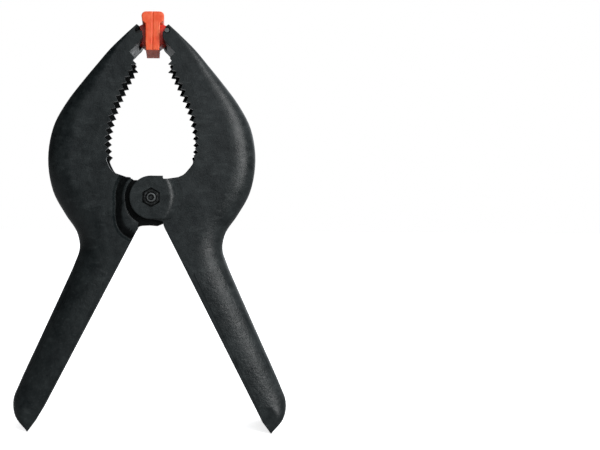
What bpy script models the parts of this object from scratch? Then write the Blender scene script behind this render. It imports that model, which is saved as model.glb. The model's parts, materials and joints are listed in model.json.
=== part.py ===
"""Spring clamp with swivelling jaw pads, about 225 mm long.

Two nylon arms turn on one bolt. Each arm is a channel, open towards the middle of the clamp,
with a toothed jaw above the pivot and a handle below it. A torsion spring on the pivot holds
the jaws shut. Each jaw ends in a fork that carries an orange pad on a steel pin.

Outlines are written in millimetres from the pivot axis: x to the side, z up. They are drawn for
the right arm and mirrored for the left. The model is in metres and stands on its handle tips.
"""
import math

import bmesh
import bpy
from mathutils import Matrix, Vector

MM = 0.001
GAP = 0.3                       # clearance kept between neighbouring pieces

# Arms
PIVOT_HEIGHT = 125.2            # pivot axis above the handle tips
BODY_HALF = 14.0                # half the width of the channel section
WALL = 3.0                      # thickness of side walls and web
FILLET_DEPTH = 0.7              # depth of the outer rounding, as a share of its width
FILLET_STEPS = 4
TOOTH_DEPTH = 2.2
TOOTH_LEAN = 0.2                # the roots sit this far up the rack from the middle
TOOTH_COUNT = 15                # regular teeth on each jaw
RIB_HALF = 1.1                  # half the thickness of a cross rib
RIB_LENGTH = 60.0
RIBS = (((49.7, 70.0), 27.0), ((58.0, 47.9), 18.0), ((61.0, 23.0), 0.0), ((86.7, -96.4), 27.0))
HOLLOW_TOP = 76.5               # the jaw is solid above this height
HOLLOW_BOTTOM = -119.0
HOLLOW_OPEN_SIDE = ((0.0, HOLLOW_TOP), (-6.0, 40.0), (-22.0, 0.0), (-6.0, -40.0), (52.0, HOLLOW_BOTTOM))

# Outer edge of an arm from the jaw tip to the handle tip: x, z, width of the rounding
OUTER_EDGE = (
    (13.6, 87.6, 1.2), (22.4, 79.4, 3.5), (29.9, 71.0, 6.0), (36.8, 63.0, 8.0),
    (46.5, 50.6, 10.5), (53.7, 37.7, 14.0), (56.4, 20.3, 14.0), (53.5, 2.9, 14.0),
    (46.6, -9.9, 15.0), (40.7, -18.9, 16.0), (39.0, -27.6, 16.0), (41.7, -36.3, 16.0),
    (47.4, -49.4, 15.5), (59.8, -76.8, 15.0), (71.1, -102.0, 14.0), (73.8, -109.7, 12.0),
    (71.9, -118.0, 6.0), (64.8, -125.2, 0.8))

# Line through the tips of the regular teeth, from the top of the rack to its foot
RACK_LINE = ((8.6, 71.0), (12.0, 64.7), (16.8, 54.5), (20.8, 44.0), (22.9, 33.4), (23.1, 27.0), (22.5, 22.5))
RACK_RAMP = ((12.2, 77.2), (9.4, 74.3), (10.4, 72.8))
THROAT_RIGHT = ((22.5, 22.5), (23.0, 20.4), (21.8, 17.8), (19.6, 14.9), (17.3, 12.4), (14.3, 10.9))
THROAT_LEFT = ((22.5, 22.5), (24.1, 20.4), (23.2, 17.6), (21.2, 14.2), (17.8, 11.8), (14.3, 10.9))
HANDLE_INNER = ((8.6, -18.9), (60.2, -119.0))

# Hub
EAR_RADIUS = 11.6               # outer ears of the right arm
EAR_TOP = 10.0                  # the side of an ear towards its arm is cut flat at this height
EAR_HALF = 17.0                 # outside faces of the ears
EAR_STEP = 0.1                  # the raised face stands this far inside the ear's edge
EAR_FACE_ARC = (10.8, 20.0)     # arc that ends an ear's flat face: how far its centre lies to the left, radius
EAR_SHOULDER = (3.0, 1.1)       # rounded edge of that face: how much further out, and how far down
EAR_FOOT = (5.9, 3.5)           # foot of the slope below it
PLATE_RADIUS = 15.6             # inner plates of the left arm
PLATE_TOP = 9.2
PLATE_ROOT = ((-3.5, -15.4), (0.5, -15.1), (4.5, -15.3), (6.6, -15.8), (9.4, -19.0), (15.4, -30.2),
              (25.0, -22.0), (25.0, 14.8), (12.6, 10.6), (10.8, PLATE_TOP))
PLATE_BRIDGE_RADIUS = 13.4      # the plates join the side walls outside this circle
PLATE_BRIDGE = ((9.4, -19.0), (15.4, -30.2), (25.0, -22.0), (25.0, 14.8))
PLATE_INSIDE = 7.7
PLATE_OUTSIDE = BODY_HALF - WALL - GAP

# Hub recess in the face of the left arm: radius, depth. A ridge and a groove ring the ear
RECESS = ((13.8, 3.15), (13.8, 0.95), (14.3, 0.65), (15.3, 0.7), (18.3, 2.25),
          (19.1, 2.5), (19.8, 1.9), (20.7, -0.2), (20.9, -4.0))
RECESS_SPREAD = 2.7             # growth of the recess below the hub, per mm from its core to its ridge
RECESS_CORE = 13.4
RECESS_RIDGE = 15.5
BOLT_RADIUS = 2.5
BORE_RADIUS = BOLT_RADIUS + GAP
HEX_RECESS = 9.2                # across flats
HEX_RECESS_DEPTH = 4.4
NUT_FLATS = 8.0
NUT_HEIGHT = 3.6
BOLT_STICKS_OUT = 0.4           # bolt end beyond the nut
HEAD_FLATS = 8.0
HEAD_HEIGHT = 3.5
SLEEVE_RADIUS = 5.8

# Spring
WIRE = 2.6
COIL_RADIUS = 7.5
COIL_PITCH = 2.8
COIL_TURNS = 4                  # whole turns, besides the part turn between the legs
LEG_END = (50.0, -70.0)

# Pads
PIN = (7.65, 89.0)              # pad pin axis
TIP_CENTRE = (11.35, 86.7)      # rounded lobe at the end of the jaw
TIP_RADIUS = 6.0
PIN_RADIUS = 1.5
PIN_LENGTH = 22.0
PIN_FRONT = {"left": -8.6, "right": -13.4}     # front ends: the left pin is driven in deeper
SLOT_HALF = 6.2                 # half the width of the fork slot
SLOT_DEPTH = 5.0                # floor of the slot below the pin, along the arm
PAD_HALF = 11.5
PAD_FACE = 0.25                 # working face from the middle plane
PAD_BACK = 3.9
PAD_FLANGE = 6.1
PAD_BOTTOM = 78.8
PAD_TOP = 99.5
LUG_HALF = SLOT_HALF - GAP
LUG_RADIUS = 3.4

NYLON_BLACK = (0.026, 0.030, 0.032)
ORANGE = (0.86, 0.10, 0.035)
STEEL = (0.55, 0.55, 0.54)


# ---------------------------------------------------------------- outlines

def smooth_line(keys, steps):
    """Points along a centripetal Catmull-Rom curve through keys, steps to each span."""
    keys = [Vector(key) for key in keys]
    ends = [2 * keys[0] - keys[1]] + keys + [2 * keys[-1] - keys[-2]]
    line = []
    for p0, p1, p2, p3 in zip(ends, ends[1:], ends[2:], ends[3:]):
        t1 = math.sqrt((p1 - p0).length)
        t2 = t1 + math.sqrt((p2 - p1).length)
        t3 = t2 + math.sqrt((p3 - p2).length)
        for step in range(steps):
            t = t1 + (t2 - t1) * step / steps
            a1 = p0.lerp(p1, t / t1)
            a2 = p1.lerp(p2, (t - t1) / (t2 - t1))
            a3 = p2.lerp(p3, (t - t2) / (t3 - t2))
            b1 = a1.lerp(a2, t / t2)
            b2 = a2.lerp(a3, (t - t1) / (t3 - t1))
            line.append(b1.lerp(b2, (t - t1) / (t2 - t1)))
    line.append(keys[-1])
    return line


def evenly(line, count):
    """count points at equal distances along a line."""
    lengths = [0.0]
    for a, b in zip(line, line[1:]):
        lengths.append(lengths[-1] + (b - a).length)
    points = []
    span = 0
    for i in range(count):
        target = lengths[-1] * i / (count - 1)
        while span < len(line) - 2 and lengths[span + 1] < target:
            span += 1
        part = (target - lengths[span]) / (lengths[span + 1] - lengths[span])
        points.append(line[span].lerp(line[span + 1], part))
    return points


def arc(centre, radius, start, end, steps):
    """Points on a circle, from the angle start to the angle end in degrees, both included."""
    angles = [math.radians(start + (end - start) * i / steps) for i in range(steps + 1)]
    return [Vector((centre[0] + radius * math.cos(a), centre[1] + radius * math.sin(a)))
            for a in angles]


def tangent_angle(centre, radius, point, side):
    """Angle at which a line from point touches a circle; side is +1 or -1."""
    dx = point[0] - centre[0]
    dz = point[1] - centre[1]
    spread = math.acos(radius / math.hypot(dx, dz))
    return math.degrees(math.atan2(dz, dx) + side * spread)


def rack():
    """The saw-tooth edge of a jaw: tips on the rack line, roots TOOTH_DEPTH behind it."""
    line = evenly(smooth_line(RACK_LINE, 8), 2 * TOOTH_COUNT - 1)
    edge = [Vector(point) for point in RACK_RAMP]
    for i, point in enumerate(line):
        if i % 2:
            along = (line[i + 1] - line[i - 1]).normalized()
            point = point + TOOTH_DEPTH * Vector((-along.y, along.x)) - TOOTH_LEAN * along
        edge.append(point)
    return edge


def jaw_and_throat(throat):
    """Inner edge of an arm from its fork down to the hub."""
    tip = arc(TIP_CENTRE, TIP_RADIUS, 118, 234, 8)
    return tip + rack() + smooth_line(throat, 3)[1:]


def ear_edge():
    """Edge of the right arm's hub, over the flat top and round the ear."""
    cut = math.degrees(math.asin(EAR_TOP / EAR_RADIUS))
    round_part = arc((0, 0), EAR_RADIUS, cut, 272, 20)
    return [Vector((8.5, EAR_TOP))] + round_part + [Vector((6.2, -12.7)), Vector((7.0, -15.6))]


def stub_edge():
    """Edge of the left arm's side walls at the hub, before the clearance cone trims them."""
    return [Vector((11.2, 10.6)), Vector((9.0, 7.0)), Vector((6.4, -12.0)), Vector((7.0, -15.8))]


def arm_outline(throat, hub_edge):
    """Closed outline of an arm, and the corner rounding at each of its points."""
    inner = jaw_and_throat(throat) + hub_edge + [Vector(point) for point in HANDLE_INNER]
    outer = smooth_line(OUTER_EDGE, 5)
    outer.reverse()
    points = inner + [point.xy for point in outer]
    radii = [0.0] * len(inner) + [point.z for point in outer]
    return points, radii


# ---------------------------------------------------------------- mesh helpers

def new_object(name, mesh_data, colour, roughness, metallic=0.0):
    """A part in the clamp's collection with its own material."""
    material = bpy.data.materials.new(name)
    material.use_nodes = True
    shader = material.node_tree.nodes["Principled BSDF"]
    shader.inputs["Base Color"].default_value = (*colour, 1.0)
    shader.inputs["Roughness"].default_value = roughness
    shader.inputs["Metallic"].default_value = metallic
    mesh_data.materials.append(material)
    part = bpy.data.objects.new(name, mesh_data)
    parts_collection.objects.link(part)
    return part


def new_cutter(name, mesh_data):
    cutter = bpy.data.objects.new(name, mesh_data)
    cutter.hide_render = True
    cutter.display_type = "WIRE"
    cutters_collection.objects.link(cutter)
    return cutter


def boolean(part, other, operation):
    modifier = part.modifiers.new(other.name, "BOOLEAN")
    modifier.operation = operation
    modifier.solver = "EXACT"
    modifier.object = other


def mesh_from(bm, name):
    """Finish a bmesh drawn in millimetres: outward faces, metres, smooth shading."""
    bmesh.ops.remove_doubles(bm, verts=bm.verts, dist=0.0001)
    bmesh.ops.recalc_face_normals(bm, faces=bm.faces)
    bmesh.ops.scale(bm, vec=(MM, MM, MM), verts=bm.verts)
    mesh_data = bpy.data.meshes.new(name)
    bm.to_mesh(mesh_data)
    bm.free()
    mesh_data.shade_smooth()
    mesh_data.set_sharp_from_angle(angle=math.radians(35))
    return mesh_data


def loft(rings, name):
    """A closed solid through rings of (x, y, z) points, with its two ends capped."""
    bm = bmesh.new()
    loops = [[bm.verts.new(point) for point in ring] for ring in rings]
    for lower, upper in zip(loops, loops[1:]):
        for i in range(len(lower)):
            j = (i + 1) % len(lower)
            bm.faces.new((lower[i], lower[j], upper[j], upper[i]))
    bm.faces.new(loops[0])
    bm.faces.new(loops[-1])
    bmesh.ops.remove_doubles(bm, verts=bm.verts, dist=0.001)
    bmesh.ops.triangulate(bm, faces=bm.faces)
    return mesh_from(bm, name)


def flat_solid(points, low, high, name, mirror=1):
    """An outline in x and z, made solid from y = low to y = high."""
    return loft([[(mirror * p[0], y, p[1]) for p in points] for y in (low, high)], name)


def inward_normals(points):
    normals = []
    for i, point in enumerate(points):
        along = points[(i + 1) % len(points)] - points[i - 1]
        normals.append(Vector((-along.y, along.x)).normalized())
    return normals


def rounded_solid(points, radii, half, name, mirror):
    """An outline made solid to y = +-half, its outer corners rounded off in part ellipses."""
    normals = inward_normals(points)
    corner = [math.pi / 2 * i / FILLET_STEPS for i in range(FILLET_STEPS + 1)]
    rings = []
    for side, angles in ((-1, corner), (1, corner[::-1])):
        for a in angles:
            ring = []
            for point, normal, radius in zip(points, normals, radii):
                inset = point + normal * radius * (1 - math.sin(a))
                y = side * (half - FILLET_DEPTH * radius * (1 - math.cos(a)))
                ring.append((mirror * inset.x, y, inset.y))
            rings.append(ring)
    return loft(rings, name)


def cylinder(radius_low, radius_high, low, high, centre, name, sides=32):
    """A cylinder or cone along Y, between y = low and y = high."""
    bm = bmesh.new()
    bmesh.ops.create_cone(bm, cap_ends=True, segments=sides, radius1=radius_low,
                          radius2=radius_high, depth=high - low)
    turn = Matrix.Rotation(math.radians(-90), 4, "X")
    move = Matrix.Translation((centre[0], (low + high) / 2, centre[1]))
    bmesh.ops.transform(bm, matrix=move @ turn, verts=bm.verts)
    return mesh_from(bm, name)


def hexagon(flats):
    """Corners of a hexagon with corners at its top and bottom."""
    return arc((0, 0), flats / math.sqrt(3), 90, 390, 5)


# ---------------------------------------------------------------- arms

def hollow_outline(points, radii):
    """The outline of the hollow: one wall inside the outer edge, open past the inner edge."""
    hollow = []
    rounding = []
    for point, normal, radius in zip(points, inward_normals(points), radii):
        inset = point + normal * WALL
        if radius > 0 and HOLLOW_BOTTOM < inset.y < HOLLOW_TOP:
            hollow.append(inset)
            rounding.append(max(radius - WALL, 0.0))
    hollow += [Vector(point) for point in HOLLOW_OPEN_SIDE]
    rounding += [0.0] * len(HOLLOW_OPEN_SIDE)
    return hollow, rounding


def cross_ribs(name, mirror):
    """Boxes where the hollow is left filled, so that ribs join the two walls."""
    bm = bmesh.new()
    for centre, tilt in RIBS:
        verts = bmesh.ops.create_cube(bm, size=1)["verts"]
        bmesh.ops.scale(bm, vec=(RIB_LENGTH, 4 * BODY_HALF, 2 * RIB_HALF), verts=verts)
        turn = Matrix.Rotation(math.radians(-mirror * tilt), 4, "Y")
        move = Matrix.Translation((mirror * centre[0], 0, centre[1]))
        bmesh.ops.transform(bm, matrix=move @ turn, verts=verts)
    return new_cutter(name, mesh_from(bm, name))


def fork_slot(name, mirror):
    """The slot that holds the lug of a pad, square to the jaw's tip."""
    size = 12.0
    bm = bmesh.new()
    bmesh.ops.create_cube(bm, size=1)
    bmesh.ops.scale(bm, vec=(2 * size, 2 * SLOT_HALF, 2 * size), verts=bm.verts)
    bmesh.ops.translate(bm, vec=(0, 0, size - SLOT_DEPTH), verts=bm.verts)
    turn = Matrix.Rotation(math.radians(-45), 4, "Y")
    bmesh.ops.transform(bm, matrix=turn, verts=bm.verts)
    bmesh.ops.scale(bm, vec=(mirror, 1, 1), verts=bm.verts)
    bmesh.ops.translate(bm, vec=(mirror * PIN[0], 0, PIN[1]), verts=bm.verts)
    return new_cutter(name, mesh_from(bm, name))


def channel(name, throat, hub_edge, mirror):
    """An arm before its hub is added: rounded body, hollow, fork slot and pin hole."""
    points, radii = arm_outline(throat, hub_edge)
    body = rounded_solid(points, radii, BODY_HALF, name, mirror)
    arm = new_object(name, body, NYLON_BLACK, 0.45)
    hollow_points, hollow_radii = hollow_outline(points, radii)
    hollow_mesh = rounded_solid(hollow_points, hollow_radii, BODY_HALF - WALL, name + "_hollow", mirror)
    hollow = new_cutter(name + "_hollow", hollow_mesh)
    boolean(hollow, cross_ribs(name + "_ribs", mirror), "DIFFERENCE")
    boolean(arm, hollow, "DIFFERENCE")
    boolean(arm, fork_slot(name + "_fork_slot", mirror), "DIFFERENCE")
    pin_hole = cylinder(PIN_RADIUS + GAP, PIN_RADIUS + GAP, -20, 20, (mirror * PIN[0], PIN[1]),
                        name + "_pin_hole", 20)
    boolean(arm, new_cutter(name + "_pin_hole", pin_hole), "DIFFERENCE")
    return arm


def ear_ring(growth, y):
    """Section of an ear at depth y; growth is how far it spreads past its flat face, at its arm."""
    edge = EAR_RADIUS - EAR_STEP
    offset = EAR_FACE_ARC[0] - growth
    arc_radius = EAR_FACE_ARC[1]
    ring = []
    for i in range(48):
        angle = 2 * math.pi * (i + 0.5) / 48
        c = math.cos(angle)
        s = math.sin(angle)
        radius = edge
        if c > 0:
            reach = math.sqrt(arc_radius ** 2 - (offset * s) ** 2) - offset * c
            radius = min(reach, edge / abs(s))
        if s > 0 and c > 0.5:
            radius = min(radius, (EAR_TOP - EAR_STEP) / s)
        ring.append((radius * c, y, radius * s))
    return ring


def add_outer_ears(arm):
    for side, label in ((-1, "front"), (1, "back")):
        steps = (EAR_FOOT, EAR_SHOULDER, (0.0, 0.0))
        rings = [ear_ring(growth, side * (EAR_HALF - depth)) for growth, depth in steps]
        name = label + "_ear"
        boolean(arm, new_cutter(name, loft(rings, name)), "UNION")
    for side, label in ((-1, "nut"), (1, "head")):
        ends = sorted((side * (EAR_HALF - HEX_RECESS_DEPTH), side * (EAR_HALF + 5)))
        name = label + "_recess"
        boolean(arm, new_cutter(name, flat_solid(hexagon(HEX_RECESS), *ends, name)), "DIFFERENCE")


def hub_plate_outline():
    """Inner plate of the left arm, drawn on the right: a disc with a flat top, and its root."""
    start = math.degrees(math.asin(PLATE_TOP / PLATE_RADIUS))
    disc = arc((0, 0), PLATE_RADIUS, 180 - start, 250, 16)
    return disc + [Vector(point) for point in PLATE_ROOT]


def plate_bridge_outline():
    """Where an inner plate joins its side wall, drawn on the right."""
    return arc((0, 0), PLATE_BRIDGE_RADIUS, 44, -54, 10) + [Vector(point) for point in PLATE_BRIDGE]


def recess_ring(radius, y):
    """Section of the hub recess: round above the pivot, and spreading towards the handle below it."""
    ring = []
    for i in range(64):
        angle = 2 * math.pi * i / 64
        below = min(max((math.degrees(angle) - 185) / 50, 0), 1)
        spread = RECESS_SPREAD * (min(radius, RECESS_RIDGE) - RECESS_CORE) * below * below * (3 - 2 * below)
        ring.append(((radius + spread) * math.cos(angle), y, (radius + spread) * math.sin(angle)))
    return ring


def add_inner_plates(arm):
    for side, label in ((-1, "front"), (1, "back")):
        name = label + "_plate"
        ends = sorted((side * PLATE_INSIDE, side * PLATE_OUTSIDE))
        plate = flat_solid(hub_plate_outline(), *ends, name, -1)
        boolean(arm, new_cutter(name, plate), "UNION")
        name = label + "_plate_bridge"
        ends = sorted((side * (PLATE_OUTSIDE - 0.5), side * (BODY_HALF - WALL + 0.6)))
        bridge = flat_solid(plate_bridge_outline(), *ends, name, -1)
        boolean(arm, new_cutter(name, bridge), "UNION")
        name = label + "_recess"
        rings = [recess_ring(radius, side * (BODY_HALF - depth)) for radius, depth in RECESS]
        boolean(arm, new_cutter(name, loft(rings, name)), "DIFFERENCE")


def bore(arm):
    name = arm.name + "_bore"
    hole = cylinder(BORE_RADIUS, BORE_RADIUS, -25, 25, (0, 0), name, 28)
    boolean(arm, new_cutter(name, hole), "DIFFERENCE")


def make_arms():
    right = channel("right_arm", THROAT_RIGHT, ear_edge(), 1)
    add_outer_ears(right)
    bore(right)
    left = channel("left_arm", THROAT_LEFT, stub_edge(), -1)
    add_inner_plates(left)
    bore(left)
    return left, right


# ---------------------------------------------------------------- pivot

def revolve(profile, name):
    """A piece turned round the pivot axis; profile holds (radius, y) from one end to the other."""
    bm = bmesh.new()
    verts = [bm.verts.new((radius, y, 0)) for radius, y in profile]
    for a, b in zip(verts, verts[1:]):
        bm.edges.new((a, b))
    bmesh.ops.spin(bm, geom=bm.verts[:] + bm.edges[:], cent=(0, 0, 0), axis=(0, 1, 0),
                   angle=2 * math.pi, steps=32, use_merge=True)
    return mesh_from(bm, name)


def make_bolt():
    """Hex bolt with its head in the back ear and a staked end in the front nut."""
    head_face = EAR_HALF - HEX_RECESS_DEPTH + GAP
    end = -(EAR_HALF - HEX_RECESS_DEPTH + GAP + NUT_HEIGHT + BOLT_STICKS_OUT)
    shank = revolve(((0, end + 0.5), (1.2, end + 0.5), (1.4, end), (2.0, end), (BOLT_RADIUS, end + 0.5),
                     (BOLT_RADIUS, head_face + 1), (0, head_face + 1)), "pivot_bolt")
    bolt = new_object("pivot_bolt", shank, STEEL, 0.35, 1.0)
    head = flat_solid(hexagon(HEAD_FLATS), head_face, head_face + HEAD_HEIGHT, "bolt_head")
    boolean(bolt, new_cutter("bolt_head", head), "UNION")
    return bolt


def make_nut():
    inner_face = -(EAR_HALF - HEX_RECESS_DEPTH + GAP)
    body = flat_solid(hexagon(NUT_FLATS), inner_face - NUT_HEIGHT, inner_face, "pivot_nut")
    nut = new_object("pivot_nut", body, STEEL, 0.4, 1.0)
    hole = cylinder(BORE_RADIUS, BORE_RADIUS, -25, 0, (0, 0), "nut_thread", 28)
    boolean(nut, new_cutter("nut_thread", hole), "DIFFERENCE")
    return nut


def make_sleeve():
    half = PLATE_INSIDE - GAP
    ring = ((BORE_RADIUS, -half), (SLEEVE_RADIUS, -half), (SLEEVE_RADIUS, half), (BORE_RADIUS, half),
            (BORE_RADIUS, -half))
    return new_object("pivot_sleeve", revolve(ring, "pivot_sleeve"), NYLON_BLACK, 0.5)


def make_spring():
    """One wire: up the left handle, clockwise round the sleeve, down the right handle."""
    leg = Vector(LEG_END)
    start = math.atan2(leg.y, leg.x) + math.acos(COIL_RADIUS / leg.length)
    turn = 2 * math.pi * COIL_TURNS + math.pi - 2 * start
    half_length = COIL_PITCH * turn / (2 * math.pi) / 2
    points = [(-leg.x, -half_length, leg.y)]
    steps = round(turn / math.radians(20))
    for i in range(steps + 1):
        angle = math.pi - start - turn * i / steps
        y = -half_length + 2 * half_length * i / steps
        points.append((COIL_RADIUS * math.cos(angle), y, COIL_RADIUS * math.sin(angle)))
    points.append((leg.x, half_length, leg.y))
    curve = bpy.data.curves.new("torsion_spring", "CURVE")
    curve.dimensions = "3D"
    curve.bevel_depth = WIRE / 2 * MM
    curve.bevel_resolution = 2
    curve.use_fill_caps = True
    wire = curve.splines.new("POLY")
    wire.points.add(len(points) - 1)
    for spline_point, point in zip(wire.points, points):
        spline_point.co = (*(Vector(point) * MM), 1)
    return new_object("torsion_spring", curve, STEEL, 0.35, 1.0)


# ---------------------------------------------------------------- pads

def pad_profile():
    """A pad seen from the front, on the right: working face, stepped flange and tapered foot."""
    radius = 2.4
    corner = arc((PAD_FLANGE - radius, PAD_TOP - radius), radius, 0, 90, 5)
    return ([Vector((PAD_FACE, PAD_BOTTOM)), Vector((PAD_BACK - 0.3, PAD_BOTTOM)),
             Vector((PAD_BACK, PAD_BOTTOM + 3)), Vector((PAD_BACK, PAD_TOP - 6.5)),
             Vector((PAD_FLANGE - 0.4, PAD_TOP - 5.1))] + corner + [Vector((PAD_FACE, PAD_TOP))])


def lug_profile():
    """The lug of a pad: a wedge that ends in an eye round the pin."""
    top = Vector((PAD_BACK - 1, PIN[1] + 6.2))
    bottom = Vector((PAD_BACK - 1, PIN[1] - 8))
    start = tangent_angle(PIN, LUG_RADIUS, bottom, 1)
    end = tangent_angle(PIN, LUG_RADIUS, top, -1)
    return [bottom] + arc(PIN, LUG_RADIUS, start, end, 8) + [top]


def make_pad(name, mirror):
    body = flat_solid(pad_profile(), -PAD_HALF, PAD_HALF, name, mirror)
    pad = new_object(name, body, ORANGE, 0.4)
    lug = flat_solid(lug_profile(), -LUG_HALF, LUG_HALF, name + "_lug", mirror)
    boolean(pad, new_cutter(name + "_lug", lug), "UNION")
    eye = cylinder(PIN_RADIUS + GAP, PIN_RADIUS + GAP, -20, 20, (mirror * PIN[0], PIN[1]),
                   name + "_eye", 20)
    boolean(pad, new_cutter(name + "_eye", eye), "DIFFERENCE")
    return pad


def make_pin(name, mirror, front):
    centre = (mirror * PIN[0], PIN[1])
    body = cylinder(PIN_RADIUS, PIN_RADIUS, front, front + PIN_LENGTH, centre, name, 20)
    return new_object(name, body, STEEL, 0.3, 1.0)


# ---------------------------------------------------------------- assembly

def place(part, axis, parent=None):
    """Put a part's origin on its joint axis (x, z in millimetres) and hang it on its parent."""
    offset = Vector((axis[0] * MM, 0, axis[1] * MM))
    if part.type == "MESH":
        part.data.transform(Matrix.Translation(-offset))
    for modifier in part.modifiers:
        if modifier.type == "BOOLEAN":
            place_cutter(modifier.object)
    part.location = offset + Vector((0, 0, PIVOT_HEIGHT * MM))
    if parent:
        part.parent = parent
        part.location = part.location - parent.location


def place_cutter(cutter):
    """Lift a cutter, and those it uses itself, to the pivot's height."""
    cutter.location.z = PIVOT_HEIGHT * MM
    for modifier in cutter.modifiers:
        place_cutter(modifier.object)


for old in list(bpy.data.objects):
    bpy.data.objects.remove(old, do_unlink=True)
parts_collection = bpy.data.collections.new("spring_clamp")
cutters_collection = bpy.data.collections.new("cutters")
bpy.context.scene.collection.children.link(parts_collection)
bpy.context.scene.collection.children.link(cutters_collection)

left_arm, right_arm = make_arms()
place(left_arm, (0, 0))
place(right_arm, (0, 0))
for piece in (make_bolt(), make_nut(), make_sleeve()):
    place(piece, (0, 0), right_arm)
place(make_spring(), (0, 0), left_arm)
for label, direction, arm_part in (("left", -1, left_arm), ("right", 1, right_arm)):
    pin_axis = (direction * PIN[0], PIN[1])
    place(make_pad(label + "_pad", direction), pin_axis, arm_part)
    place(make_pin(label + "_pad_pin", direction, PIN_FRONT[label]), pin_axis, arm_part)
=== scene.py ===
"""The looks of the spring clamp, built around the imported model.

Outlines are in millimetres from the pivot axis (x to the side, z up), drawn for the right arm
and mirrored for the left, as in the model itself. to_frame() turns them into the frame's metres.
"""
import json
import math

import bmesh
import bpy
from mathutils import Matrix, Vector


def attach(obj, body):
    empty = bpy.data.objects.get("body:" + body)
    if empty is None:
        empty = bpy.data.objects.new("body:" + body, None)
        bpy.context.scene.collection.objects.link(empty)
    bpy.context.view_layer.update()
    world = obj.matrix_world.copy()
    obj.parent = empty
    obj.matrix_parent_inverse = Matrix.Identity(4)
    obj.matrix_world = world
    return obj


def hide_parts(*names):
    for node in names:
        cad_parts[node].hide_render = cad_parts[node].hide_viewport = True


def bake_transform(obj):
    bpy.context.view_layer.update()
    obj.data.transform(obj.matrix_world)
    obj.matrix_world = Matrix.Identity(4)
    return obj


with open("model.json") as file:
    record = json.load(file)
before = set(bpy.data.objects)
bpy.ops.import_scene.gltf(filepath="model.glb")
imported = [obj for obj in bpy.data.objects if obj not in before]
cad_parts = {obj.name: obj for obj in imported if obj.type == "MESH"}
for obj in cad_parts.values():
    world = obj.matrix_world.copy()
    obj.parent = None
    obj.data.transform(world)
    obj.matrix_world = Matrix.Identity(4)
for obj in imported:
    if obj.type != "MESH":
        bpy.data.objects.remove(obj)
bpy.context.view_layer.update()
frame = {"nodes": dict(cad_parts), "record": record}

MM = 0.001
JOINTS = {joint["name"]: joint for joint in frame["record"]["behaviour"]["joints"]}
PIVOT = Vector(JOINTS["jaw_pivot"]["pos_m"])
TO_FRAME = Matrix.Translation(PIVOT) @ Matrix.Scale(MM, 4)

# Arms, as in the model
BODY_HALF = 14.0                # half the width of the channel section
WALL = 3.0                      # thickness of side walls and web
FILLET_DEPTH = 0.7              # depth of the outer rounding, as a share of its width
TOOTH_DEPTH = 2.2
TOOTH_LEAN = 0.2                # the roots sit this far up the rack from the middle
TOOTH_COUNT = 15                # regular teeth on each jaw
RIB_HALF = 1.1                  # half the thickness of a cross rib
RIB_LENGTH = 60.0
# Centre and tilt of each rib
RIBS = (((49.7, 70.0), 27.0), ((58.0, 47.9), 18.0), ((61.0, 23.0), 0.0), ((86.7, -96.4), 27.0))
HOLLOW_TOP = 76.5               # the jaw is solid above this height
HOLLOW_BOTTOM = -119.0
HOLLOW_OPEN_SIDE = ((0.0, HOLLOW_TOP), (-6.0, 40.0), (-22.0, 0.0), (-6.0, -40.0), (52.0, HOLLOW_BOTTOM))
# Outer edge of an arm from the jaw tip to the handle tip: x, z, width of the rounding
OUTER_EDGE = (
    (13.6, 87.6, 1.2), (22.4, 79.4, 3.5), (29.9, 71.0, 6.0), (36.8, 63.0, 8.0),
    (46.5, 50.6, 10.5), (53.7, 37.7, 14.0), (56.4, 20.3, 14.0), (53.5, 2.9, 14.0),
    (46.6, -9.9, 15.0), (40.7, -18.9, 16.0), (39.0, -27.6, 16.0), (41.7, -36.3, 16.0),
    (47.4, -49.4, 15.5), (59.8, -76.8, 15.0), (71.1, -102.0, 14.0), (73.8, -109.7, 12.0),
    (71.9, -118.0, 6.0), (64.8, -125.2, 0.8))
# Line through the tips of the regular teeth, from the top of the rack to its foot
RACK_LINE = ((8.6, 71.0), (12.0, 64.7), (16.8, 54.5), (20.8, 44.0), (22.9, 33.4), (23.1, 27.0),
             (22.5, 22.5))
RACK_RAMP = ((12.2, 77.2), (9.4, 74.3), (10.4, 72.8))
# From the foot of the rack to the hub
THROAT_RIGHT = ((22.5, 22.5), (23.0, 20.4), (21.8, 17.8), (19.6, 14.9), (17.3, 12.4), (14.3, 10.9))
THROAT_LEFT = ((22.5, 22.5), (24.1, 20.4), (23.2, 17.6), (21.2, 14.2), (17.8, 11.8), (14.3, 10.9))
HANDLE_INNER = ((8.6, -18.9), (60.2, -119.0))
INNER_EDGE_ROUNDING = 0.15      # moulded radius of every edge that isn't on the outer side
PAST_BODY = 20.0                # cutters along Y reach past the arms, or past the ears
PAST_EARS = 25.0
EMBED = 0.5                     # pieces to be joined start this deep in each other
EMBED_IN_WALL = 0.6
WELD = 0.001                    # points closer than this become one

# Hub, as in the model
EAR_RADIUS = 11.6
EAR_TOP = 10.0                  # the flat on top of the ear
EAR_HALF = 17.0
EAR_STEP = 0.15                 # the raised face stands this far inside the ear's edge
EAR_ROUND_END = 272             # angle where the ear's round edge runs out, in degrees
EAR_CORNER = (8.5, EAR_TOP)
EAR_FOOT = ((6.2, -12.7), (7.0, -15.6))
EAR_FACE_ARC = (10.8, 20.0)     # the raised face ends towards its arm in this arc: offset, radius
EAR_ROUNDING = 0.45
EAR_SIDES = 120
EAR_DROPS = (3.35, 2.8, 2.0, 1.25, 1.0, 0.78, 0.58, 0.4, 0.26, 0.15, 0.07, 0.02, 0.005, 0.0)
EAR_SHOULDER = 3.2              # width of the rounded shoulder towards the arm
EAR_SLOPE = 0.78                # fall of the slope below it
STUB_EDGE = ((11.2, 10.6), (9.0, 7.0), (6.4, -12.0), (7.0, -15.8))
RING_RADIUS = 17.1              # fine raised line beside each ear
RING_WIDTH = 0.4
RING_HEIGHT = 0.18
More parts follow.
